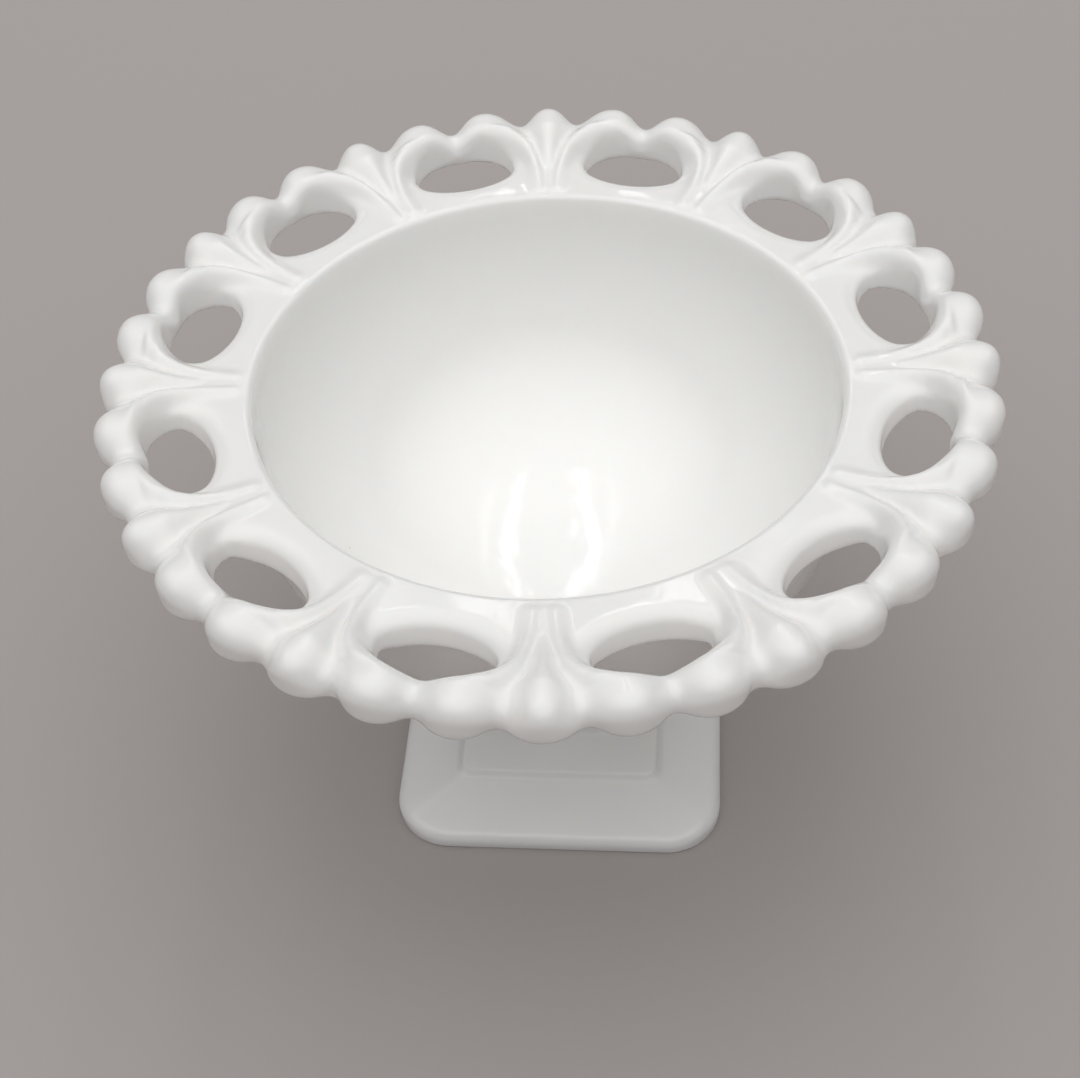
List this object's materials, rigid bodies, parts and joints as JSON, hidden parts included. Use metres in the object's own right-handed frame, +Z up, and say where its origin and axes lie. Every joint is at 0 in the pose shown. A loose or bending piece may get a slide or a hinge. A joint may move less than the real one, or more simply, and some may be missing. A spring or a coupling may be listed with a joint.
{
  "type": "footed lace-edge bowl",
  "caption": "deep round white pressed-glass bowl with an open lace border of heart-shaped loops and round lobes, raised on a waisted stem with a square foot",
  "frame": {"origin": "on the table, under the middle of the square foot", "axes": "+Z up along the stem; the foot's sides are square to X and Y; -Y is the side the picture looks from"},
  "size_m": [0.2046, 0.2046, 0.1327],
  "materials": {
    "milk_glass": "opaque white pressed glass, fire-polished gloss"
  },
  "bodies": {
    "root": {"bowl": "milk_glass", "lace_border": "milk_glass", "joining_wafer": "milk_glass", "pedestal": "milk_glass"}
  },
  "joints": []
}
